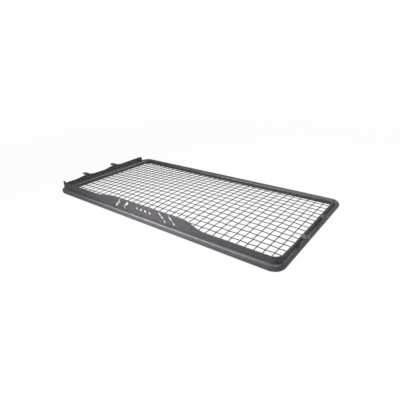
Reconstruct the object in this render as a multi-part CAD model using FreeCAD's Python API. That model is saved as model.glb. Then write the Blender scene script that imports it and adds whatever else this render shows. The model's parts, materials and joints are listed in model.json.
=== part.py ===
import FreeCAD, Part
import math
import os

from FreeCAD import Vector

# Interior ceiling cargo rack: a hoop of bent steel tube, a woven wire mesh welded
# inside it, and upright sheet plates round the front and the two short sides.
# Millimetres. X runs along the length, the front is at -Y, Z is up.
# The origin is on the floor under the middle of the hoop.

# hoop of round tube, measured along its centre line
HOOP_LENGTH = 1022.0
HOOP_DEPTH = 518.0
TUBE_DIAMETER = 25.0
TUBE_WALL = 2.0
BEND_RADIUS = 27.0
BEND_SIDES = 16
BEND_BORE_SIDES = 8

# upright plates welded on top of the tube
PLATE_THICKNESS = 3.0
PLATE_OFFSET = -1.5
PLATE_END_SETBACK = 14.0
PLATE_END_RADIUS = 14.0
SEAT_GAP = 0.3
SEAM_GAP = 0.3
SEAM_ANGLE = 45.0

# front fascia with its raised middle
FASCIA_LEFT_HEIGHT = 28.5
FASCIA_RIGHT_HEIGHT = 21.0
FASCIA_CREST_HEIGHT = 44.0
CREST_LENGTH = 302.0
CREST_MIDDLE_X = 19.0
CREST_LEFT_RUN = 138.0
CREST_RIGHT_RUN = 100.0
CUT_OUTS_MIDDLE_X = 0.5
SLOT_WIDTH = 8.5
SLOT_LENGTH = 42.0
SLOT_LEAN = 44.0
SLOT_SPACING = 43.0
SLOT_PAIR_DISTANCE = 223.0
ROUND_HOLE_DIAMETER = 13.0
ROUND_HOLE_SPACING = 20.5
ROUND_HOLE_COUNT = 4

# right rim strip
RIM_FRONT_HEIGHT = 21.0
RIM_HEIGHT = 18.0
RIM_RUN = 77.0

# left end plate with a hump under each of its tabs
END_PLATE_FRONT_HEIGHT = 28.5
END_PLATE_LOW_HEIGHT = 15.5
END_PLATE_MIDDLE_HEIGHT = 16.5
END_PLATE_REAR_HEIGHT = 19.5
END_PLATE_BACK_HEIGHT = 22.5
FRONT_HUMP_HEIGHT = 21.0
REAR_HUMP_HEIGHT = 24.0
HUMP_LENGTH = 14.0
HUMP_FRONT_RUN = 62.0
HUMP_BACK_RUN = 38.0

# mounting tabs, two on each short side, laid on the plates' top edges
TAB_LENGTH = 28.0
TAB_WIDTH = 20.0
TAB_THICKNESS = 4.0
TAB_HOLE_DIAMETER = 9.0
TAB_SPACING_SHARE = 0.309
LEFT_TAB_MIDDLE_SHARE = -0.0898
RIGHT_TAB_MIDDLE_SHARE = -0.0627

# woven mesh, bowed upwards, its wires butted to the inner side of the tube
MESH_PITCH = 29.0
WIRE_SIZE = 2.7
WEAVE_GAP = 0.2
MESH_END_MARGIN = 25.0
MESH_SIDE_MARGIN = 36.0
MESH_SHIFT_X = -9.5
MESH_SHIFT_Y = -4.0
MESH_CROWN = 15.0
CROWN_STEPS = 6
WIRE_END_GAP = 0.3

half_length = HOOP_LENGTH / 2
half_depth = HOOP_DEPTH / 2
tube_radius = TUBE_DIAMETER / 2
straight_x = half_length - BEND_RADIUS
straight_y = half_depth - BEND_RADIUS
plate_foot = TUBE_DIAMETER + SEAT_GAP
plate_end_y = straight_y - PLATE_END_SETBACK
inner_bend = BEND_RADIUS + PLATE_OFFSET
outer_bend = inner_bend + PLATE_THICKNESS
mesh_half_length = half_length - tube_radius
mesh_half_depth = half_depth - tube_radius
mesh_under = tube_radius - WIRE_SIZE / 2


def save(node, shape):
    shape.exportStep(os.path.join("parts", node + ".step"))


def ring(start, along):
    """Annular section of the tube at a point of the centre line."""
    outer = Part.Face(Part.Wire(Part.makeCircle(tube_radius, start, along)))
    bore = Part.Face(Part.Wire(Part.makeCircle(tube_radius - TUBE_WALL, start, along)))
    return outer.cut(bore).Faces[0]


def straight_tube(start, along, length):
    return ring(start, along).extrude(along * length)


def many_sided(start, radius, sides):
    """Section across X with the area of a circle, and flats at its top and bottom."""
    turn = 2 * math.pi / sides
    reach = radius * math.sqrt(turn / math.sin(turn))
    corners = []
    for side in range(sides):
        angle = (side + 0.5) * turn
        corners.append(start + Vector(0, reach * math.cos(angle), reach * math.sin(angle)))
    return Part.Face(Part.makePolygon(corners + corners[:1]))


def bent_tube(sign_x, sign_y):
    """Quarter bend of the hoop, from the end of the front or back tube."""
    start = Vector(sign_x * straight_x, sign_y * half_depth, tube_radius)
    centre = Vector(sign_x * straight_x, sign_y * straight_y, tube_radius)
    turn = 90.0 * sign_x * -sign_y
    wall = many_sided(start, tube_radius, BEND_SIDES)
    wall = wall.cut(many_sided(start, tube_radius - TUBE_WALL, BEND_BORE_SIDES)).Faces[0]
    return wall.revolve(centre, Vector(0, 0, 1), turn)


def bent_sheet(sign_x, first_angle, last_angle, height):
    """Part of a plate that follows a front bend, angles from the +X axis."""
    foot = Vector(sign_x * straight_x, -straight_y, plate_foot)
    sweep = last_angle - first_angle
    rise = TUBE_DIAMETER + height - plate_foot
    outer = Part.makeCylinder(outer_bend, rise, foot, Vector(0, 0, 1), sweep)
    inner = Part.makeCylinder(inner_bend, rise, foot, Vector(0, 0, 1), sweep)
    sheet = outer.cut(inner)
    sheet.rotate(foot, Vector(0, 0, 1), first_angle)
    return sheet


def s_curve(start, end):
    """Two equal tangent arcs, level at both ends, from (u, z) to (u, z)."""
    run = end[0] - start[0]
    rise = end[1] - start[1]
    half_turn = math.atan2(abs(rise), abs(run))
    radius = (run * run + rise * rise) / (4 * abs(rise))
    step_u = math.copysign(radius * math.sin(half_turn), run)
    step_z = math.copysign(radius * (1 - math.cos(half_turn)), rise)
    middle = ((start[0] + end[0]) / 2, (start[1] + end[1]) / 2)
    return [("arc", (start[0] + step_u, start[1] + step_z), middle),
            ("arc", (end[0] - step_u, end[1] - step_z), end)]


def profile_face(start, steps, place):
    """Closed face from line and arc steps in a flat (u, z) plane."""
    edges = []
    here = start
    for kind, *points in steps:
        if kind == "arc":
            edges.append(Part.Arc(place(here), place(points[0]), place(points[1])).toShape())
        else:
            edges.append(Part.LineSegment(place(here), place(points[0])).toShape())
        here = points[-1]
    edges.append(Part.LineSegment(place(here), place(start)).toShape())
    return Part.Face(Part.Wire(edges))


def leaning_slot(middle_x, lean):
    """Round-ended slot cut right through the fascia, leaning from upright."""
    middle_z = TUBE_DIAMETER + FASCIA_CREST_HEIGHT / 2
    front_y = -half_depth - PLATE_OFFSET - 2 * PLATE_THICKNESS
    depth = 3 * PLATE_THICKNESS
    reach = (SLOT_LENGTH - SLOT_WIDTH) / 2
    middle = Vector(middle_x, front_y, middle_z)
    through = Vector(0, 1, 0)
    bar = Part.makeBox(SLOT_WIDTH, depth, 2 * reach,
                       middle - Vector(SLOT_WIDTH / 2, 0, reach))
    for end in (-reach, reach):
        round_end = Part.makeCylinder(SLOT_WIDTH / 2, depth, middle + Vector(0, 0, end), through)
        bar = bar.fuse(round_end)
    bar.rotate(middle, through, lean)
    return bar


def round_hole(middle_x):
    middle_z = TUBE_DIAMETER + FASCIA_CREST_HEIGHT / 2
    front_y = -half_depth - PLATE_OFFSET - 2 * PLATE_THICKNESS
    return Part.makeCylinder(ROUND_HOLE_DIAMETER / 2, 3 * PLATE_THICKNESS,
                             Vector(middle_x, front_y, middle_z), Vector(0, 1, 0))


def front_fascia():
    def place(point):
        return Vector(point[0], -half_depth - PLATE_OFFSET, point[1])

    left_z = TUBE_DIAMETER + FASCIA_LEFT_HEIGHT
    right_z = TUBE_DIAMETER + FASCIA_RIGHT_HEIGHT
    crest_z = TUBE_DIAMETER + FASCIA_CREST_HEIGHT
    crest_left = CREST_MIDDLE_X - CREST_LENGTH / 2
    crest_right = CREST_MIDDLE_X + CREST_LENGTH / 2
    steps = [("line", (straight_x, plate_foot)), ("line", (straight_x, right_z)),
             ("line", (crest_right + CREST_RIGHT_RUN, right_z))]
    steps += s_curve((crest_right + CREST_RIGHT_RUN, right_z), (crest_right, crest_z))
    steps += [("line", (crest_left, crest_z))]
    steps += s_curve((crest_left, crest_z), (crest_left - CREST_LEFT_RUN, left_z))
    steps += [("line", (-straight_x, left_z))]
    sheet = profile_face((-straight_x, plate_foot), steps, place)
    sheet = sheet.extrude(Vector(0, -PLATE_THICKNESS, 0))
    for side in (-1, 1):
        for place_in_pair in (-0.5, 0.5):
            from_middle = side * SLOT_PAIR_DISTANCE / 2 + place_in_pair * SLOT_SPACING
            sheet = sheet.cut(leaning_slot(CUT_OUTS_MIDDLE_X + from_middle, -side * SLOT_LEAN))
    for index in range(ROUND_HOLE_COUNT):
        from_middle = (index - (ROUND_HOLE_COUNT - 1) / 2) * ROUND_HOLE_SPACING
        sheet = sheet.cut(round_hole(CUT_OUTS_MIDDLE_X + from_middle))
    left_end = bent_sheet(-1, 270 - SEAM_ANGLE, 270, FASCIA_LEFT_HEIGHT)
    right_end = bent_sheet(1, 270, 270 + SEAM_ANGLE, FASCIA_RIGHT_HEIGHT)
    return sheet.fuse([left_end, right_end]).removeSplitter()


def rounded_end(top_z):
    """Steps up the back end of a side plate and round its top corner."""
    slack = PLATE_END_RADIUS * (1 - math.sqrt(0.5))
    return [("line", (plate_end_y, plate_foot)),
            ("line", (plate_end_y, top_z - PLATE_END_RADIUS)),
            ("arc", (plate_end_y - slack, top_z - slack), (plate_end_y - PLATE_END_RADIUS, top_z))]


def side_plate(sign_x, steps, bent):
    """Plate along a short side and round its front bend, trimmed to a (y, z) outline."""
    def place(point):
        return Vector(sign_x * (half_length + PLATE_OFFSET), point[0], point[1])

    heights = (END_PLATE_FRONT_HEIGHT, FRONT_HUMP_HEIGHT, REAR_HUMP_HEIGHT, RIM_FRONT_HEIGHT)
    tallest = TUBE_DIAMETER + max(heights)
    face_x = sign_x * (half_length + PLATE_OFFSET)
    bar = Part.makeBox(PLATE_THICKNESS, plate_end_y + straight_y, tallest - plate_foot,
                       Vector(min(face_x, face_x + sign_x * PLATE_THICKNESS), -straight_y, plate_foot))
    front_y = -straight_y - 2 * outer_bend
    outline = profile_face((front_y, plate_foot), steps + [("line", (front_y, steps[-1][-1][1]))], place)
    outline.translate(Vector(sign_x * outer_bend, 0, 0))
    trim = outline.extrude(Vector(-sign_x * 3 * outer_bend, 0, 0))
    return bar.fuse(bent).removeSplitter().common(trim).removeSplitter()


def right_rim():
    front_z = TUBE_DIAMETER + RIM_FRONT_HEIGHT
    rim_z = TUBE_DIAMETER + RIM_HEIGHT
    gap_angle = math.degrees(SEAM_GAP / inner_bend)
    bent = bent_sheet(1, 270 + SEAM_ANGLE + gap_angle, 360, RIM_FRONT_HEIGHT)
    steps = rounded_end(rim_z)
    steps += [("line", (-straight_y + RIM_RUN, rim_z))]
    steps += s_curve((-straight_y + RIM_RUN, rim_z), (-straight_y, front_z))
    return side_plate(1, steps, bent)


def tab_places(middle_share):
    """Places of a side's two tabs, as shares of the hoop's depth."""
    half_spacing = TAB_SPACING_SHARE / 2
    return [HOOP_DEPTH * (middle_share - half_spacing), HOOP_DEPTH * (middle_share + half_spacing)]


def left_end_plate():
    front_z = TUBE_DIAMETER + END_PLATE_FRONT_HEIGHT
    low_z = TUBE_DIAMETER + END_PLATE_LOW_HEIGHT
    middle_z = TUBE_DIAMETER + END_PLATE_MIDDLE_HEIGHT
    humps = ((REAR_HUMP_HEIGHT, middle_z), (FRONT_HUMP_HEIGHT, low_z))
    steps = rounded_end(TUBE_DIAMETER + END_PLATE_BACK_HEIGHT)
    after_z = TUBE_DIAMETER + END_PLATE_REAR_HEIGHT
    for tab_y, (hump_height, before_z) in zip(reversed(tab_places(LEFT_TAB_MIDDLE_SHARE)), humps):
        hump_z = TUBE_DIAMETER + hump_height
        back_of_hump = tab_y + HUMP_LENGTH / 2
        front_of_hump = tab_y - HUMP_LENGTH / 2
        steps += [("line", (back_of_hump + HUMP_BACK_RUN, after_z))]
        steps += s_curve((back_of_hump + HUMP_BACK_RUN, after_z), (back_of_hump, hump_z))
        steps += [("line", (front_of_hump, hump_z))]
        steps += s_curve((front_of_hump, hump_z), (front_of_hump - HUMP_FRONT_RUN, before_z))
        after_z = before_z
    seam_y = -straight_y - inner_bend * math.cos(math.radians(SEAM_ANGLE))
    steps += [("line", (-straight_y, low_z))]
    steps += s_curve((-straight_y, low_z), (seam_y, front_z))
    gap_angle = math.degrees(SEAM_GAP / inner_bend)
    bent = bent_sheet(-1, 180, 270 - SEAM_ANGLE - gap_angle, END_PLATE_FRONT_HEIGHT)
    return side_plate(-1, steps, bent)


def mounting_tab(sign_x, middle_y, under_z):
    """Flat tab with a round outer end and a bolt hole, pointing away from the hoop."""
    root_x = sign_x * (half_length + PLATE_OFFSET + PLATE_THICKNESS / 2)
    tip_x = root_x + sign_x * (TAB_LENGTH - TAB_WIDTH / 2)
    left_x = min(root_x, tip_x)
    blade = Part.makeBox(abs(tip_x - root_x), TAB_WIDTH, TAB_THICKNESS,
                         Vector(left_x, middle_y - TAB_WIDTH / 2, under_z))
    tip = Vector(tip_x, middle_y, under_z)
    blade = blade.fuse(Part.makeCylinder(TAB_WIDTH / 2, TAB_THICKNESS, tip)).removeSplitter()
    return blade.cut(Part.makeCylinder(TAB_HOLE_DIAMETER / 2, TAB_THICKNESS, tip))


def inner_side_y(x):
    """Distance from the X axis to the inner side of the hoop's tube at a given x."""
    beyond = abs(x) - straight_x
    if beyond <= 0:
        return mesh_half_depth
    return straight_y + math.sqrt((BEND_RADIUS - tube_radius) ** 2 - beyond ** 2)


def inner_side_x(y):
    """Distance from the Y axis to the inner side of the hoop's tube at a given y."""
    beyond = abs(y) - straight_y
    if beyond <= 0:
        return mesh_half_length
    return straight_x + math.sqrt((BEND_RADIUS - tube_radius) ** 2 - beyond ** 2)


def crown_steps_y():
    return [mesh_half_depth * (2 * step / CROWN_STEPS - 1) for step in range(CROWN_STEPS + 1)]


def crown(x, y):
    """Rise of the mesh above its edge: round along X, straight steps along Y."""
    def share(v):
        return 1 - (v / mesh_half_depth) ** 2

    step = 2 * mesh_half_depth / CROWN_STEPS
    index = min(max(int((y + mesh_half_depth) / step), 0), CROWN_STEPS - 1)
    low = -mesh_half_depth + index * step
    part = (y - low) / step
    across = share(low) * (1 - part) + share(low + step) * part
    return MESH_CROWN * across * (1 - (x / mesh_half_length) ** 2)


def wire_places(span, margin, shift):
    """Even places of the wires across a span, at least a margin from its ends."""
    count = int((span - 2 * margin) / MESH_PITCH) + 1
    return [shift + (index - (count - 1) / 2) * MESH_PITCH for index in range(count)]


def wire(path, place, across):
    """Four-sided wire: a band of constant height along a path, given its width."""
    upper = [place(u, z + WIRE_SIZE) for u, z in path]
    lower = [place(u, z) for u, z in reversed(path)]
    outline = Part.makePolygon(upper + lower + upper[:1])
    return Part.Face(outline).extrude(across * WIRE_SIZE)


def cross_wire(x):
    """Straight wire from front to back, between the inner sides of the tubes."""
    end_y = inner_side_y(abs(x) + WIRE_SIZE / 2) - WIRE_END_GAP
    inner = [y for y in crown_steps_y() if abs(y) < end_y - WIRE_SIZE]
    path = [(y, mesh_under + crown(x, y)) for y in [-end_y] + inner + [end_y]]
    return wire(path, lambda u, z: Vector(x - WIRE_SIZE / 2, u, z), Vector(1, 0, 0))


def long_wire(y, crossings, phase):
    """Crimped wire along the length, over and under each cross wire in turn."""
    end_x = inner_side_x(abs(y) + WIRE_SIZE / 2) - WIRE_END_GAP
    crimp = (WIRE_SIZE + WEAVE_GAP) / (1 - WIRE_SIZE / MESH_PITCH)
    path = [(-end_x, mesh_under)]
    for index, x in enumerate(crossings):
        side = 1 if (index + phase) % 2 == 0 else -1
        path.append((x, mesh_under + crown(x, y) + side * crimp))
    path += [(end_x, mesh_under)]
    return wire(path, lambda u, z: Vector(u, y - WIRE_SIZE / 2, z), Vector(0, 1, 0))


def shares(items, count):
    """Split a list into runs of about the same length."""
    size = math.ceil(len(items) / count)
    return [items[first:first + size] for first in range(0, len(items), size)]


os.makedirs("parts", exist_ok=True)

save("tube_front", straight_tube(Vector(-straight_x, -half_depth, tube_radius),
                                 Vector(1, 0, 0), 2 * straight_x))
save("tube_back", straight_tube(Vector(-straight_x, half_depth, tube_radius),
                                Vector(1, 0, 0), 2 * straight_x))
save("tube_left", straight_tube(Vector(-half_length, -straight_y, tube_radius),
                                Vector(0, 1, 0), 2 * straight_y))
save("tube_right", straight_tube(Vector(half_length, -straight_y, tube_radius),
                                 Vector(0, 1, 0), 2 * straight_y))
save("bends_front", Part.Compound([bent_tube(-1, -1), bent_tube(1, -1)]))
save("bends_back", Part.Compound([bent_tube(-1, 1), bent_tube(1, 1)]))

save("front_fascia", front_fascia())
save("right_rim", right_rim())
save("left_end_plate", left_end_plate())

right_tab_z = TUBE_DIAMETER + RIM_HEIGHT + SEAT_GAP
humps = (("front", FRONT_HUMP_HEIGHT), ("rear", REAR_HUMP_HEIGHT))
for (name, hump_height), tab_y in zip(humps, tab_places(LEFT_TAB_MIDDLE_SHARE)):
    left_tab_z = TUBE_DIAMETER + hump_height + SEAT_GAP
    save("left_tab_" + name, mounting_tab(-1, tab_y, left_tab_z))
for name, tab_y in zip(("front", "rear"), tab_places(RIGHT_TAB_MIDDLE_SHARE)):
    save("right_tab_" + name, mounting_tab(1, tab_y, right_tab_z))

cross_x = wire_places(HOOP_LENGTH, MESH_END_MARGIN, MESH_SHIFT_X)
long_y = wire_places(HOOP_DEPTH, MESH_SIDE_MARGIN, MESH_SHIFT_Y)
cross_names = ("far_left", "left", "middle", "right", "far_right")
for name, group in zip(cross_names, shares(cross_x, len(cross_names))):
    save("cross_wires_" + name, Part.Compound([cross_wire(x) for x in group]))
phases = {y: index for index, y in enumerate(long_y)}
long_names = ("front", "middle", "rear")
for name, group in zip(long_names, shares(long_y, len(long_names))):
    wires = [long_wire(y, cross_x, phases[y]) for y in group]
    save("long_wires_" + name, Part.Compound(wires))
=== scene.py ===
import json
import math

import bmesh
import bpy
from mathutils import Matrix, Vector

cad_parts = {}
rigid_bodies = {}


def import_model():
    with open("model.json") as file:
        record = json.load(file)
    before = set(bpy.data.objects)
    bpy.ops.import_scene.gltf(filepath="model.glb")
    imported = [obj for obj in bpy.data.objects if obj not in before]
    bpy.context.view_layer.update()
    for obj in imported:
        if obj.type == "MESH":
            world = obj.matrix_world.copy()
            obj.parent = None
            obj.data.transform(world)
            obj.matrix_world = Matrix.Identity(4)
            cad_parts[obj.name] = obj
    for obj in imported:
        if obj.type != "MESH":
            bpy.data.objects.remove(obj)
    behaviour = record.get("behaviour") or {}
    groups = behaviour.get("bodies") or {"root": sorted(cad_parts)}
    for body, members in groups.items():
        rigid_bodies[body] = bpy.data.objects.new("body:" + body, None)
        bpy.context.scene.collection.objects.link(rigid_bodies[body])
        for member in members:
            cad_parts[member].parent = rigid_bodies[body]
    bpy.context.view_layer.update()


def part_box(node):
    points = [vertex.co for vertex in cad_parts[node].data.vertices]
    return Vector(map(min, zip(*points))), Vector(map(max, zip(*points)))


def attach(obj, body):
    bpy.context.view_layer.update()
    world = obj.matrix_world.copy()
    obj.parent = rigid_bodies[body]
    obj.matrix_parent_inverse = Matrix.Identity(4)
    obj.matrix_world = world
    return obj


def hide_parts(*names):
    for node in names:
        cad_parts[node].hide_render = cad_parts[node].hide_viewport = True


for leftover in list(bpy.data.objects):
    bpy.data.objects.remove(leftover)

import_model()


# Hoop. One round steel tube bent at four corners into a flat closed frame.
# It lies on the floor and carries everything else. The whole rack is sprayed
# with a charcoal powder coat after welding, so every piece shares that finish.
front_low, front_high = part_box("tube_front")
right_low, right_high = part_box("tube_right")
tube_radius = (front_high.z - front_low.z) / 2
tube_top = 2 * tube_radius
half_depth = -(front_low.y + front_high.y) / 2
half_length = (right_low.x + right_high.x) / 2
straight_x = front_high.x
straight_y = right_high.y
bend_radius = half_length - straight_x
TUBE_FACETS = 56
BEND_FACETS = 20
COAT_TONE = (0.0485, 0.0448, 0.0515)
COAT_DARKEST = 0.72
COAT_LIGHTEST = 1.34
COAT_IOR = 1.5
MOTTLE_SCALE = 14.0
GRAIN_SCALE = 1500.0
PEEL_SCALE = 330.0
FLECK_SCALE = 900.0
FLECK_STOPS = ((0.60, 0.0), (0.74, 1.0))
PIGMENT_ROUGHNESS = 0.62
ROUGHNESS_BY_GRAIN = 0.12
GLOSS_WEIGHT = 0.44
GLOSS_BY_MOTTLE = 0.10
GLOSS_BY_GRAIN = 0.12
RELIEF_STRENGTH = 0.22


class Term:
    """An output socket in a node tree. Arithmetic on it adds Math nodes."""

    def __init__(self, tree, socket=None):
        self.tree = tree
        self.socket = socket

    def node(self, kind, settings=None, sockets=None, output=0):
        """Add any node: its settings first, then the values or links of its inputs."""
        made = self.tree.nodes.new(kind)
        for key, value in (settings or {}).items():
            if key == "stops":
                ramp = made.color_ramp.elements
                for element, (position, shade) in zip(ramp, value):
                    element.position = position
                    element.color = (shade, shade, shade, 1)
            else:
                setattr(made, key, value)
        for key, value in (sockets or {}).items():
            if isinstance(value, Term):
                self.tree.links.new(value.socket, made.inputs[key])
            else:
                made.inputs[key].default_value = value
        return Term(self.tree, made.outputs[output])

    def other(self, output):
        """Another output of the node that this one comes from."""
        return Term(self.tree, self.socket.node.outputs[output])

    def math(self, operation, *values):
        """One Math node on values or terms."""
        sockets = dict(enumerate(values))
        return self.node("ShaderNodeMath", {"operation": operation}, sockets)

    def __add__(self, value):
        return self.math("ADD", self, value)

    def __radd__(self, value):
        return self.math("ADD", value, self)

    def __sub__(self, value):
        return self.math("SUBTRACT", self, value)

    def __rsub__(self, value):
        return self.math("SUBTRACT", value, self)

    def __mul__(self, value):
        return self.math("MULTIPLY", self, value)

    def __rmul__(self, value):
        return self.math("MULTIPLY", value, self)

    def __truediv__(self, value):
        return self.math("DIVIDE", self, value)

    def __rtruediv__(self, value):
        return self.math("DIVIDE", value, self)

    def limited(self, low, high):
        """This value, kept between two others."""
        return self.math("MINIMUM", self.math("MAXIMUM", self, low), high)

    def into(self, socket):
        """Link to an input of a node that stands already."""
        self.tree.links.new(self.socket, socket)


def powder_coat(name, tone, gloss, roughness, grain_height):
    """Satin powder coat: a dull textured pigment layer under a thin gloss with a soft orange peel."""
    material = bpy.data.materials.new(name)
    material.use_nodes = True
    tree = material.node_tree
    coat = tree.nodes["Principled BSDF"]
    place = Term(tree).node("ShaderNodeTexCoord", output="Object")

    def noise(scale, detail):
        sockets = {"Vector": place, "Scale": scale, "Detail": detail}
        return place.node("ShaderNodeTexNoise", None, sockets, "Fac")

    mottle = noise(MOTTLE_SCALE, 4.0)
    grain = noise(GRAIN_SCALE, 2.0)
    peel = noise(PEEL_SCALE, 1.0)
    fleck = place.node("ShaderNodeValToRGB", {"stops": FLECK_STOPS}, {"Fac": noise(FLECK_SCALE, 3.0)})
    depth = (0.35 * mottle + 0.45 * grain + 0.2 * fleck).limited(0.0, 1.0)
    dark = [COAT_DARKEST * part for part in tone]
    light = [COAT_LIGHTEST * part for part in tone]
    shade = place.node("ShaderNodeMix", {"data_type": "RGBA"}, {0: depth, 6: (*dark, 1), 7: (*light, 1)}, 2)
    shade.into(coat.inputs["Base Color"])
    dullness = PIGMENT_ROUGHNESS + ROUGHNESS_BY_GRAIN * grain
    dullness.into(coat.inputs["Roughness"])
    weight = gloss * GLOSS_WEIGHT + gloss * GLOSS_BY_MOTTLE * mottle + gloss * GLOSS_BY_GRAIN * grain
    weight.into(coat.inputs["Coat Weight"])
    relief = 0.6 * grain + 0.4 * peel
    bump = place.node("ShaderNodeBump", None,
                      {"Strength": RELIEF_STRENGTH, "Distance": grain_height, "Height": relief})
    bump.into(coat.inputs["Normal"])
    coat.inputs["Specular IOR Level"].default_value = 0.0
    coat.inputs["Coat Roughness"].default_value = roughness
    coat.inputs["Coat IOR"].default_value = COAT_IOR
    return material


def new_tree(name, **inputs):
    """A geometry tree with named inputs, and the terms that read them."""
    tree = bpy.data.node_groups.new(name, "GeometryNodeTree")
    tree.interface.new_socket("Geometry", in_out="OUTPUT", socket_type="NodeSocketGeometry")
    tree.interface.new_socket("Geometry", in_out="INPUT", socket_type="NodeSocketGeometry")
    for label, kind in inputs.items():
        tree.interface.new_socket(label, in_out="INPUT", socket_type="NodeSocket" + kind)
    entry = tree.nodes.new("NodeGroupInput")
    return tree, {socket.name: Term(tree, socket) for socket in entry.outputs if socket.name}


def close_tree(tree, geometry, material):
    """End a tree with smooth faces, real geometry and its finish."""
    smooth = geometry.node("GeometryNodeSetShadeSmooth", None, {"Geometry": geometry})
    real = geometry.node("GeometryNodeRealizeInstances", None, {"Geometry": smooth})
    done = geometry.node("GeometryNodeSetMaterial", None, {"Geometry": real, "Material": material})
    done.into(tree.nodes.new("NodeGroupOutput").inputs[0])


def run_tree(name, tree, sizes, points=(), edges=()):
    """Run a tree on a few points or edges and keep the result as a plain mesh."""
    seed = bpy.data.meshes.new(name)
    seed.from_pydata(points, edges, [])
    piece = bpy.data.objects.new(name, seed)
    bpy.context.scene.collection.objects.link(piece)
    modifier = piece.modifiers.new(name, "NODES")
    modifier.node_group = tree
    for item in tree.interface.items_tree:
        if item.in_out == "INPUT" and item.name in sizes:
            modifier[item.identifier] = sizes[item.name]
    graph = bpy.context.evaluated_depsgraph_get()
    made = bpy.data.meshes.new_from_object(piece.evaluated_get(graph))
    piece.modifiers.clear()
    piece.data = made
    return piece


tube_coat = powder_coat("tube_powder_coat", COAT_TONE, gloss=1.0, roughness=0.33, grain_height=0.00010)
tree, size = new_tree("bent_tube_hoop", Length="Float", Depth="Float", Bend="Float", Radius="Float")
here = size["Length"]
plan = here.node("GeometryNodeCurvePrimitiveQuadrilateral", {"mode": "RECTANGLE"},
                 {"Width": size["Length"], "Height": size["Depth"]})
plan = here.node("GeometryNodeFilletCurve", {"mode": "POLY"},
                 {"Curve": plan, "Count": BEND_FACETS, "Radius": size["Bend"]})
lift = here.node("ShaderNodeCombineXYZ", None, {"Z": size["Radius"]})
plan = here.node("GeometryNodeSetPosition", None, {"Geometry": plan, "Offset": lift})
section = here.node("GeometryNodeCurvePrimitiveCircle", {"mode": "RADIUS"},
                    {"Resolution": TUBE_FACETS, "Radius": size["Radius"]})
tube = here.node("GeometryNodeCurveToMesh", None, {"Curve": plan, "Profile Curve": section})
close_tree(tree, tube, tube_coat)
hoop = run_tree("hoop", tree, {"Length": 2 * half_length, "Depth": 2 * half_depth,
                               "Bend": bend_radius, "Radius": tube_radius})
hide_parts("tube_front", "tube_back", "tube_left", "tube_right", "bends_front", "bends_back")
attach(hoop, "root")


# Mesh, cross wires. Steel wires of 3 mm from front to back at a 29 mm pitch,
# bowed up towards the middle of the rack. Each has a small knuckle pressed into
# it at every crossing, and its ends are butt welded to the inside of the tube.
WIRE_DIAMETER = 0.0030
WIRE_SIDES = 8
MESH_PITCH = 0.029
MESH_CROWN = 0.015
KNUCKLE_CLEARANCE = 0.00005
KNUCKLE = WIRE_DIAMETER / 2 + KNUCKLE_CLEARANCE
KNUCKLE_REACH = 0.0095
SAMPLES_PER_PITCH = 9
WANDER = 0.0005
WANDER_SCALE = 3.0
END_SINK = 0.0005
mesh_half_length = half_length - tube_radius
mesh_half_depth = half_depth - tube_radius
inner_bend = bend_radius - tube_radius
# The wires get a darker copy of the frame's powder coat. Its lower tone is painted shade that stands in for
# how dark the mesh looks under these lamps, not a different paint.
WIRE_TONE_WITH_PAINTED_SHADE = (0.033, 0.030, 0.035)
wire_coat_with_painted_shade = powder_coat("wire_powder_coat_painted_shade", WIRE_TONE_WITH_PAINTED_SHADE, gloss=1.0, roughness=0.34, grain_height=0.00008)


def wire_places(first_node, last_node, axis):
    """First place and count of the wires that fill the boxes of a run of nodes."""
    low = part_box(first_node)[0][axis]
    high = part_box(last_node)[1][axis]
    count = round((high - low) / MESH_PITCH) + 1
    return (low + high - (count - 1) * MESH_PITCH) / 2, count


cross_start, cross_count = wire_places("cross_wires_far_left", "cross_wires_far_right", 0)
long_start, long_count = wire_places("long_wires_front", "long_wires_rear", 1)


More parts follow.
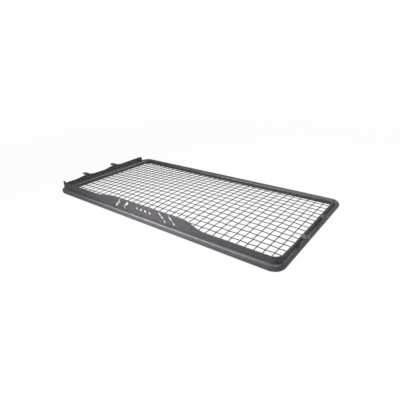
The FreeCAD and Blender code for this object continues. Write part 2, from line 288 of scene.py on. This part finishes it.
def woven_wires(name, along_x, seed):
    """Like wires side by side, bowed with the mesh and knuckled where they cross the others."""
    tree, size = new_tree(name, Count="Int", Pitch="Float", Diameter="Float",
                          Crown="Float", Knuckle="Float")
    here = size["Pitch"]
    start, count = (long_start, long_count) if along_x else (cross_start, cross_count)
    crossing_start, crossing_count = (cross_start, cross_count) if along_x else (long_start, long_count)
    straight_along, straight_across = (straight_x, straight_y) if along_x else (straight_y, straight_x)
    samples = round(2 * (straight_along + inner_bend) / MESH_PITCH) * SAMPLES_PER_PITCH
    step = here.node("ShaderNodeCombineXYZ", None, {"Y": size["Pitch"]})
    places = here.node("GeometryNodeMeshLine", {"mode": "OFFSET"},
                       {"Count": size["Count"], "Start Location": (0, start, 0), "Offset": step})
    line = here.node("GeometryNodeCurvePrimitiveLine", {"mode": "POINTS"},
                     {"Start": (-1, 0, 0), "End": (1, 0, 0)})
    line = here.node("GeometryNodeResampleCurve", {"mode": "COUNT"}, {"Curve": line, "Count": samples})
    rows = here.node("GeometryNodeInstanceOnPoints", None, {"Points": places, "Instance": line})
    rows = here.node("GeometryNodeRealizeInstances", None, {"Geometry": rows})

    # Each row runs from -1 to 1 and is stretched to the inside of the hoop.
    place = here.node("GeometryNodeInputPosition")
    spot = here.node("ShaderNodeSeparateXYZ", None, {0: place})
    across = spot.other("Y")
    beyond = here.math("MAXIMUM", here.math("ABSOLUTE", across) - straight_across, 0.0)
    reach = straight_along + END_SINK + here.math("SQRT", inner_bend ** 2 - beyond * beyond)
    along = spot.other("X") * reach

    # The bow of the whole mesh.
    along_share = along / (mesh_half_length if along_x else mesh_half_depth)
    across_share = across / (mesh_half_depth if along_x else mesh_half_length)
    rise = size["Crown"] * (1 - along_share * along_share) * (1 - across_share * across_share)

    # A knuckle at each crossing, up and down in turn.
    turn = (along - crossing_start) / size["Pitch"]
    crossing = here.math("ROUND", turn).limited(0, crossing_count - 1)
    away = (turn - crossing) * size["Pitch"] / KNUCKLE_REACH
    swell = here.math("MAXIMUM", 1 - away * away, 0.0)
    over = here.math("COSINE", math.pi * (crossing + (across - start) / size["Pitch"]))
    knuckle = size["Knuckle"] * over * swell * swell
    height = tube_radius + rise + (knuckle if along_x else -1 * knuckle)

    # No wire is quite straight.
    drift = here.node("ShaderNodeTexNoise", {"noise_dimensions": "4D"},
                      {"Vector": place, "W": seed, "Scale": WANDER_SCALE, "Detail": 1.0}, "Fac")
    sideways = across + WANDER * (drift - 0.5)
    shaped = here.node("ShaderNodeCombineXYZ", None, {
        "X": along if along_x else sideways, "Y": sideways if along_x else along, "Z": height})
    rows = here.node("GeometryNodeSetPosition", None, {"Geometry": rows, "Position": shaped})
    section = here.node("GeometryNodeCurvePrimitiveCircle", {"mode": "RADIUS"},
                        {"Resolution": WIRE_SIDES, "Radius": size["Diameter"] * 0.5})
    wires = here.node("GeometryNodeCurveToMesh", None,
                      {"Curve": rows, "Profile Curve": section, "Fill Caps": True})
    close_tree(tree, wires, wire_coat_with_painted_shade)
    return run_tree(name, tree, {"Count": count, "Pitch": MESH_PITCH, "Diameter": WIRE_DIAMETER,
                                 "Crown": MESH_CROWN, "Knuckle": KNUCKLE})


cross_wires = woven_wires("cross_wires", along_x=False, seed=3.0)
cross_groups = ("far_left", "left", "middle", "right", "far_right")
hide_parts(*["cross_wires_" + group for group in cross_groups])
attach(cross_wires, "root")


# Mesh, long wires. The same steel wire along the rack, woven over one cross wire
# and under the next. The facing knuckles lock the two sets together, so nothing
# is welded at the crossings.
long_wires = woven_wires("long_wires", along_x=True, seed=8.0)
long_groups = ("front", "middle", "rear")
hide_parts(*["long_wires_" + group for group in long_groups])
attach(long_wires, "root")


# Weld spots. A small melted collar of weld metal holds each wire end to the
# inside of the tube, coated over with the rest. One for every end of every wire.
SPOT_SIZE = 0.0030
SPOT_FLATTENING = 0.8
SPOT_LEAST = 0.85
SPOT_MOST = 1.15
SPOT_SEED = 4
tree, size = new_tree("weld_spots", Size="Float", Flattening="Float")
here = size["Geometry"]
blob = here.node("GeometryNodeMeshIcoSphere", None, {"Radius": size["Size"], "Subdivisions": 3})
flat = here.node("ShaderNodeCombineXYZ", None, {"X": 1.0, "Y": 1.0, "Z": size["Flattening"]})
vary = here.node("FunctionNodeRandomValue", {"data_type": "FLOAT"},
                 {2: SPOT_LEAST, 3: SPOT_MOST, "Seed": SPOT_SEED}, 1)
scale = here.node("ShaderNodeVectorMath", {"operation": "SCALE"}, {0: flat, "Scale": vary})
blobs = here.node("GeometryNodeInstanceOnPoints", None,
                  {"Points": here, "Instance": blob, "Scale": scale})
# The spots take the wires' darker coat, whose lower tone is painted shade.
close_tree(tree, blobs, wire_coat_with_painted_shade)


def inner_side(across, straight_across, straight_along):
    """Distance from the middle of the rack to the inside of the tube, at a wire's place."""
    beyond = max(abs(across) - straight_across, 0)
    return straight_along + math.sqrt(inner_bend ** 2 - beyond ** 2)


wire_ends = []
for index in range(cross_count):
    x = cross_start + index * MESH_PITCH
    end = inner_side(x, straight_x, straight_y)
    wire_ends += [(x, -end, tube_radius), (x, end, tube_radius)]
for index in range(long_count):
    y = long_start + index * MESH_PITCH
    end = inner_side(y, straight_y, straight_x)
    wire_ends += [(-end, y, tube_radius), (end, y, tube_radius)]
weld_spots = run_tree("wire_weld_spots", tree,
                      {"Size": SPOT_SIZE, "Flattening": SPOT_FLATTENING}, wire_ends)
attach(weld_spots, "root")


# Front fascia. A laser-cut strip of 3 mm steel, stood on edge on the front tube,
# stitch welded to it and bent half way round both front corners. Its raised
# middle has two pairs of leaning slots and a row of round holes.
PLATE_THICKNESS = 0.003
PLATE_EDGE = 0.0004
PLATE_SHARP_ANGLE = math.radians(25)
FOOT_SINK = 0.0006
SEAM_GAP = 0.0003
CORNER_CUTS = 12
MERGE_DISTANCE = 1e-6
CUT_TOLERANCE = 1e-7
fascia_low, fascia_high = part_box("front_fascia")
plate_foot = fascia_low.z - FOOT_SINK
plate_bend = -fascia_low.y - PLATE_THICKNESS / 2 - straight_y
corner_arc = plate_bend * math.pi / 2
plate_coat = powder_coat("plate_powder_coat", COAT_TONE, gloss=0.6, roughness=0.33, grain_height=0.00011)


def on_rim(along, out):
    """Plan place on the upright plates: distance along them from the front middle, and outwards."""
    side = math.copysign(1, along)
    beyond = abs(along) - straight_x
    radius = plate_bend + out
    if beyond <= 0:
        return along, -straight_y - radius
    turn = beyond / plate_bend
    if beyond <= corner_arc:
        return side * (straight_x + radius * math.sin(turn)), -straight_y - radius * math.cos(turn)
    return side * (straight_x + radius), -straight_y + beyond - corner_arc


def s_curve(start, end, steps=18):
    """Two tangent arcs, level at both ends, as points after the start."""
    run, rise = end[0] - start[0], end[1] - start[1]
    radius = (run * run + rise * rise) / (4 * abs(rise))
    points = []
    for step in range(1, steps + 1):
        part = abs(run) * step / steps
        short = min(part, abs(run) - part)
        climb = radius - math.sqrt(radius * radius - short * short)
        share = climb if part <= abs(run) / 2 else abs(rise) - climb
        points.append((start[0] + math.copysign(part, run), start[1] + math.copysign(share, rise)))
    return points


def stadium(middle, length, width, lean, steps=10):
    """Round-ended slot outline, clockwise, leaning from upright."""
    reach = (length - width) / 2
    points = []
    for step in range(2 * steps + 2):
        angle = math.pi * (step - (step > steps)) / steps
        end = reach if step <= steps else -reach
        flat = (-math.cos(angle) * width / 2, math.sin(angle) * width / 2 + end)
        points.append((middle[0] + flat[0] * math.cos(lean) + flat[1] * math.sin(lean),
                       middle[1] - flat[0] * math.sin(lean) + flat[1] * math.cos(lean)))
    return points


def flat_plate(name, outline, cut_outs, thickness):
    """Flat sheet with chamfered edges from an outline and the outlines of its holes."""
    drawing = bpy.data.curves.new(name, "CURVE")
    drawing.dimensions = "2D"
    drawing.fill_mode = "BOTH"
    drawing.extrude = thickness / 2 - PLATE_EDGE
    drawing.bevel_depth = PLATE_EDGE
    drawing.bevel_resolution = 0
    drawing.offset = -PLATE_EDGE
    for points in [outline, *cut_outs]:
        line = drawing.splines.new("POLY")
        line.points.add(len(points) - 1)
        line.use_cyclic_u = True
        for point, (u, v) in zip(line.points, points):
            point.co = (u, v, 0, 1)
    carrier = bpy.data.objects.new(name, drawing)
    bpy.context.scene.collection.objects.link(carrier)
    graph = bpy.context.evaluated_depsgraph_get()
    sheet = bpy.data.meshes.new_from_object(carrier.evaluated_get(graph))
    bpy.data.objects.remove(carrier)
    bpy.data.curves.remove(drawing)
    return sheet


def finish_plate(name, sheet, material):
    """Make a sheet a piece of its own, with crisp cut edges and its finish."""
    sheet.set_sharp_from_angle(angle=PLATE_SHARP_ANGLE)
    sheet.materials.clear()
    sheet.materials.append(material)
    sheet.name = name
    piece = bpy.data.objects.new(name, sheet)
    bpy.context.scene.collection.objects.link(piece)
    return piece


def stand_up(name, sheet, material):
    """Cut a developed sheet across at the corners and bend it round the hoop."""
    work = bmesh.new()
    work.from_mesh(sheet)
    bmesh.ops.remove_doubles(work, verts=work.verts, dist=MERGE_DISTANCE)
    for side in (-1, 1):
        for cut in range(CORNER_CUTS + 1):
            spot = side * (straight_x + corner_arc * cut / CORNER_CUTS)
            everything = [*work.verts, *work.edges, *work.faces]
            bmesh.ops.bisect_plane(work, geom=everything, dist=CUT_TOLERANCE,
                                   plane_co=(spot, 0, 0), plane_no=(1, 0, 0))
    for vertex in work.verts:
        x, y = on_rim(vertex.co.x, vertex.co.z)
        vertex.co = (x, y, vertex.co.y)
    for face in work.faces:
        face.smooth = True
    work.to_mesh(sheet)
    work.free()
    return finish_plate(name, sheet, material)


FASCIA_LEFT_HEIGHT = 0.0285
FASCIA_RIGHT_HEIGHT = 0.021
CREST_MIDDLE = 0.019
CREST_LENGTH = 0.302
CREST_LEFT_RUN = 0.138
CREST_RIGHT_RUN = 0.100
CUT_OUTS_MIDDLE = 0.0005
SLOT_LENGTH = 0.042
SLOT_WIDTH = 0.0085
SLOT_LEAN = math.radians(44)
SLOT_SPACING = 0.043
SLOT_PAIR_DISTANCE = 0.223
ROUND_HOLE = 0.013
ROUND_HOLE_SPACING = 0.0205
ROUND_HOLE_COUNT = 4
left_top = tube_top + FASCIA_LEFT_HEIGHT
right_top = tube_top + FASCIA_RIGHT_HEIGHT
crest_top = fascia_high.z
crest_left = CREST_MIDDLE - CREST_LENGTH / 2
crest_right = CREST_MIDDLE + CREST_LENGTH / 2
seam = straight_x + corner_arc / 2
outline = [(-seam, plate_foot), (seam, plate_foot), (seam, right_top),
           (crest_right + CREST_RIGHT_RUN, right_top)]
outline += s_curve(outline[-1], (crest_right, crest_top))
outline += [(crest_left, crest_top)]
outline += s_curve(outline[-1], (crest_left - CREST_LEFT_RUN, left_top))
outline += [(-seam, left_top)]
cut_outs = []
cut_height = (tube_top + crest_top) / 2
for side in (-1, 1):
    for place in (-0.5, 0.5):
        spot = CUT_OUTS_MIDDLE + side * SLOT_PAIR_DISTANCE / 2 + place * SLOT_SPACING
        cut_outs.append(stadium((spot, cut_height), SLOT_LENGTH, SLOT_WIDTH, -side * SLOT_LEAN))
for index in range(ROUND_HOLE_COUNT):
    spot = CUT_OUTS_MIDDLE + (index - (ROUND_HOLE_COUNT - 1) / 2) * ROUND_HOLE_SPACING
    cut_outs.append(stadium((spot, cut_height), ROUND_HOLE, ROUND_HOLE, 0))
sheet = flat_plate("front_fascia_sheet", outline, cut_outs, PLATE_THICKNESS)
fascia = stand_up("front_fascia_plate", sheet, plate_coat)
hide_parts("front_fascia")
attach(fascia, "root")


# Right rim. A plain strip of the same steel plate, stitch welded along the right
# tube. It carries the fascia's line round the front corner and dips a little,
# and its back top corner is rounded off just before the back bend.
RIM_RUN = 0.077
PLATE_END_RADIUS = 0.014


def along_side(y):
    """Distance along the plates, from the front middle, of a place on a short side."""
    return straight_x + corner_arc + y + straight_y


def round_corner(end, top, steps=8):
    """Points down over the rounded top corner at the back end of a side plate."""
    points = []
    for step in range(steps + 1):
        angle = math.pi / 2 * step / steps
        points.append((end - PLATE_END_RADIUS * (1 - math.sin(angle)),
                       top - PLATE_END_RADIUS * (1 - math.cos(angle))))
    return points


rim_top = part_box("right_tab_rear")[0].z - SEAM_GAP
rim_end = along_side(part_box("right_rim")[1].y)
outline = [(rim_end, plate_foot), (seam + SEAM_GAP, plate_foot), (seam + SEAM_GAP, right_top),
           (along_side(-straight_y), right_top)]
outline += s_curve(outline[-1], (along_side(-straight_y + RIM_RUN), rim_top))
outline += round_corner(rim_end, rim_top)
sheet = flat_plate("right_rim_sheet", outline, [], PLATE_THICKNESS)
rim = stand_up("right_rim_plate", sheet, plate_coat)
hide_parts("right_rim")
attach(rim, "root")


# Left end plate. A strip of the same steel plate, stitch welded along the left
# tube. It meets the fascia at the front corner, sweeps down behind it, swells in
# a long low hump under each tab and rises a little to its rounded back end.
END_PLATE_LOW = 0.0155
END_PLATE_MIDDLE = 0.0165
END_PLATE_REAR = 0.0195
END_PLATE_BACK = 0.0225
HUMP_LENGTH = 0.014
HUMP_FRONT_RUN = 0.062
HUMP_BACK_RUN = 0.038
end_plate_end = along_side(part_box("left_end_plate")[1].y)
outline = [(end_plate_end, plate_foot), (seam + SEAM_GAP, plate_foot), (seam + SEAM_GAP, left_top)]
outline += s_curve(outline[-1], (along_side(-straight_y), tube_top + END_PLATE_LOW))
for tab, after in (("left_tab_front", END_PLATE_MIDDLE), ("left_tab_rear", END_PLATE_REAR)):
    tab_low, tab_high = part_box(tab)
    tab_y = (tab_low.y + tab_high.y) / 2
    hump_top = tab_low.z - SEAM_GAP
    hump_start = along_side(tab_y - HUMP_LENGTH / 2)
    hump_end = along_side(tab_y + HUMP_LENGTH / 2)
    outline += [(hump_start - HUMP_FRONT_RUN, outline[-1][1])]
    outline += s_curve(outline[-1], (hump_start, hump_top))
    outline += [(hump_end, hump_top)]
    outline += s_curve(outline[-1], (hump_end + HUMP_BACK_RUN, tube_top + after))
outline += round_corner(end_plate_end, tube_top + END_PLATE_BACK)
outline = [(-along, height) for along, height in outline]
sheet = flat_plate("left_end_sheet", outline, [], PLATE_THICKNESS)
end_plate = stand_up("left_end_upright", sheet, plate_coat)
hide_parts("left_end_plate")
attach(end_plate, "root")


# Mounting tabs. Small round-ended steel plates, two on each short side, welded
# flat on the top edge of the upright plates. Each points outwards and has a 9 mm
# hole for the bolt to the ceiling.
TABS = ("left_tab_front", "left_tab_rear", "right_tab_front", "right_tab_rear")
TAB_HOLE = 0.009
TAB_ARC_STEPS = 24
for name in TABS:
    low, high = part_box(name)
    side = math.copysign(1, low.x)
    width = high.y - low.y
    root = min(abs(low.x), abs(high.x))
    tip = max(abs(low.x), abs(high.x)) - width / 2
    outline = [(root, -width / 2)]
    for step in range(TAB_ARC_STEPS + 1):
        angle = math.pi * (step / TAB_ARC_STEPS - 0.5)
        outline.append((tip + width / 2 * math.cos(angle), width / 2 * math.sin(angle)))
    outline.append((root, width / 2))
    hole = stadium((tip, 0), TAB_HOLE, TAB_HOLE, 0)
    sheet = flat_plate(name + "_sheet", outline, [hole], high.z - low.z)
    turn = Matrix.Rotation(0 if side > 0 else math.pi, 4, "Z")
    seat = Matrix.Translation((0, (low.y + high.y) / 2, (low.z + high.z) / 2 - SEAM_GAP))
    sheet.transform(seat @ turn)
    for face in sheet.polygons:
        face.use_smooth = True
    tab = finish_plate(name + "_plate", sheet, plate_coat)
    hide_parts(name)
    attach(tab, "root")


# Stitch welds. Short rippled beads of weld metal along the inner foot of the
# upright plates fix them to the tube, with a gap between one bead and the next.
# A whole bead runs under the root of each tab.
BEAD_LENGTH = 0.026
BEAD_SPACING = 0.118
BEAD_SIZE = 0.0026
BEAD_LEAST = 0.85
BEAD_MOST = 1.1
BEAD_SEED = 9
BEAD_HEAD_START = 0.6
BEAD_STAND_OFF = 0.2
BEAD_SINK = 0.25
RIPPLE = 0.0013
TAB_BEAD_SIZE = 0.0020
UNBROKEN = 1.0
weld_coat = powder_coat("weld_powder_coat", COAT_TONE, gloss=1.0, roughness=0.33, grain_height=0.00010)
tree, size = new_tree("stitch_welds", Length="Float", Spacing="Float", Size="Float", Ripple="Float")
here = size["Geometry"]
route = here.node("GeometryNodeMeshToCurve", None, {"Mesh": here})
route = here.node("GeometryNodeResampleCurve", {"mode": "LENGTH"},
                  {"Curve": route, "Length": size["Ripple"]})
run = here.node("GeometryNodeSplineParameter", output="Length")
since_start = here.math("MODULO", run + size["Spacing"] * BEAD_HEAD_START, size["Spacing"])
inside = here.math("LESS_THAN", since_start, size["Length"])
blob = here.node("GeometryNodeMeshIcoSphere", None, {"Radius": size["Size"], "Subdivisions": 2})
vary = here.node("FunctionNodeRandomValue", {"data_type": "FLOAT"},
                 {2: BEAD_LEAST, 3: BEAD_MOST, "Seed": BEAD_SEED}, 1)
blobs = here.node("GeometryNodeInstanceOnPoints", None,
                  {"Points": route, "Selection": inside, "Instance": blob, "Scale": vary})
close_tree(tree, blobs, weld_coat)


def weld_row(name, points, length, spacing, bead_size):
    """Rippled beads along a row of points, each of a length, one every spacing."""
    edges = [(step, step + 1) for step in range(len(points) - 1)]
    sizes = {"Length": length, "Spacing": spacing, "Size": bead_size, "Ripple": RIPPLE}
    beads = run_tree(name, tree, sizes, points, edges)
    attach(beads, "root")


def foot_route(first, last, steps=160):
    """Line along the inner foot of the plates."""
    inwards = -PLATE_THICKNESS / 2 - BEAD_SIZE * BEAD_STAND_OFF
    points = []
    for step in range(steps + 1):
        x, y = on_rim(first + (last - first) * step / steps, inwards)
        points.append((x, y, tube_top - BEAD_SIZE * BEAD_SINK))
    return points


weld_row("fascia_welds", foot_route(-seam, seam), BEAD_LENGTH, BEAD_SPACING, BEAD_SIZE)
weld_row("right_rim_welds", foot_route(seam, rim_end), BEAD_LENGTH, BEAD_SPACING, BEAD_SIZE)
weld_row("left_end_welds", foot_route(-end_plate_end, -seam), BEAD_LENGTH, BEAD_SPACING, BEAD_SIZE)
for name in TABS:
    low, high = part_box(name)
    side = math.copysign(1, low.x)
    bead_x = side * (half_length + PLATE_THICKNESS / 2 + TAB_BEAD_SIZE * BEAD_STAND_OFF)
    bead_z = low.z - SEAM_GAP - TAB_BEAD_SIZE * BEAD_STAND_OFF
    route = [(bead_x, low.y + TAB_BEAD_SIZE, bead_z), (bead_x, high.y - TAB_BEAD_SIZE, bead_z)]
    weld_row(name + "_weld", route, UNBROKEN, UNBROKEN, TAB_BEAD_SIZE)


# Studio. A pale floor that keeps a faint shadow and shows white to the camera,
# low light all round, soft lamps in front, on the right, behind and above, and
# a low strip before the fascia. The camera stands where the photograph's did.
FLOOR_SIZE = 60.0
FLOOR_WHITE = 0.70
FLOOR_GLOW = 0.96
SHADOW_REACH = 1.0
SHADOW_FADE = 2.0
floor_mesh = bpy.data.meshes.new("studio_floor")
edge = FLOOR_SIZE / 2
corners = [(-edge, -edge, 0), (edge, -edge, 0), (edge, edge, 0), (-edge, edge, 0)]
floor_mesh.from_pydata(corners, [], [(0, 1, 2, 3)])
floor = bpy.data.objects.new("studio_floor", floor_mesh)
bpy.context.scene.collection.objects.link(floor)


def seen_directly(tree):
    """1 for rays from the camera, mirror reflections and glass, 0 for light that bounces."""
    ray = Term(tree).node("ShaderNodeLightPath", output="Is Camera Ray")
    return (ray + ray.other("Is Glossy Ray") + ray.other("Is Transmission Ray")).limited(0.0, 1.0)


floor_paint = bpy.data.materials.new("studio_floor")
floor_paint.use_nodes = True
tree = floor_paint.node_tree
tree.nodes.clear()
seen = seen_directly(tree)
matt = seen.node("ShaderNodeBsdfDiffuse", None, {"Color": (FLOOR_WHITE, FLOOR_WHITE, FLOOR_WHITE, 1)})
white = seen.node("ShaderNodeEmission", None, {"Color": (1, 1, 1, 1), "Strength": 1.0})
spot = seen.node("ShaderNodeTexCoord", output="Object")
distance = spot.node("ShaderNodeVectorMath", {"operation": "LENGTH"}, {0: spot}, "Value")
far = ((distance - SHADOW_REACH) / SHADOW_FADE).limited(0.0, 1.0)
glow = seen * (FLOOR_GLOW + (1 - FLOOR_GLOW) * far)
mixed = seen.node("ShaderNodeMixShader", None, {0: glow, 1: matt, 2: white})
mixed.into(tree.nodes.new("ShaderNodeOutputMaterial").inputs["Surface"])
floor_mesh.materials.append(floor_paint)

WORLD_LIGHT = 0.10
world = bpy.data.worlds.new("studio")
world.use_nodes = True
tree = world.node_tree
tree.nodes.clear()
seen = seen_directly(tree)
strength = WORLD_LIGHT + (1 - WORLD_LIGHT) * seen
sky = seen.node("ShaderNodeBackground", None, {"Color": (1, 1, 1, 1), "Strength": strength})
sky.into(tree.nodes.new("ShaderNodeOutputWorld").inputs["Surface"])
bpy.context.scene.world = world


def softbox(name, place, aim, width, height, watts, spread=180):
    """Soft rectangular lamp, aimed, whose beam is narrowed by a grid to a spread in degrees."""
    data = bpy.data.lights.new(name, "AREA")
    data.shape = "RECTANGLE"
    data.size = width
    data.size_y = height
    data.energy = watts
    data.spread = math.radians(spread)
    lamp = bpy.data.objects.new(name, data)
    lamp.location = place
    lamp.rotation_mode = "QUATERNION"
    lamp.rotation_quaternion = (Vector(aim) - Vector(place)).to_track_quat("-Z", "Y")
    lamp.visible_camera = False
    bpy.context.scene.collection.objects.link(lamp)
    return lamp


softbox("key_softbox", (-1.05, -0.92, 1.08), (0.45, -0.10, 0.0), 0.5, 0.65, 2.9, 52)
softbox("front_softbox", (-0.43, -0.90, 1.13), (0.40, -0.20, 0.0), 0.8, 0.60, 3.9, 80)
softbox("corner_softbox", (0.98, -0.50, 1.10), (0.50, -0.24, 0.0), 0.8, 0.22, 1.0, 60)
softbox("right_softbox", (1.10, 1.21, 0.97), (0.5, -0.2, 0.0), 0.45, 0.4, 3.0)
softbox("back_softbox", (0.28, 0.92, 0.96), (-0.3, 0.0, 0.0), 0.5, 0.5, 7.5)
softbox("left_softbox", (1.25, 0.15, 0.60), (-0.52, 0.08, 0.03), 0.4, 0.3, 0.6, 34)
softbox("top_softbox", (-0.10, -0.20, 1.45), (0.0, -0.10, 0.0), 0.5, 0.5, 7)
# The strip only fills: the round tube would mirror it as a second line.
strip = softbox("front_strip", (0.04, -0.56, 0.08), (0.04, -0.26, 0.03), 0.40, 0.08, 1.9)
strip.visible_glossy = False

CAMERA_PLACE = Vector((0.79485, -0.95098, 0.53759))
CAMERA_AZIMUTH = math.radians(38.009)
CAMERA_ELEVATION = math.radians(23.729)
CAMERA_ROLL = math.radians(1.679)
CAMERA_LENS = 29.503
CAMERA_SENSOR = 36.0
camera_data = bpy.data.cameras.new("camera")
camera_data.sensor_width = CAMERA_SENSOR
camera_data.lens = CAMERA_LENS
camera = bpy.data.objects.new("camera", camera_data)
forward = Vector((-math.sin(CAMERA_AZIMUTH) * math.cos(CAMERA_ELEVATION),
                  math.cos(CAMERA_AZIMUTH) * math.cos(CAMERA_ELEVATION), -math.sin(CAMERA_ELEVATION)))
camera.location = CAMERA_PLACE
camera.rotation_mode = "QUATERNION"
level = forward.to_track_quat("-Z", "Y")
camera.rotation_quaternion = level @ Matrix.Rotation(-CAMERA_ROLL, 3, "Z").to_quaternion()
bpy.context.scene.collection.objects.link(camera)
bpy.context.scene.camera = camera

bpy.context.scene.view_settings.view_transform = "Standard"
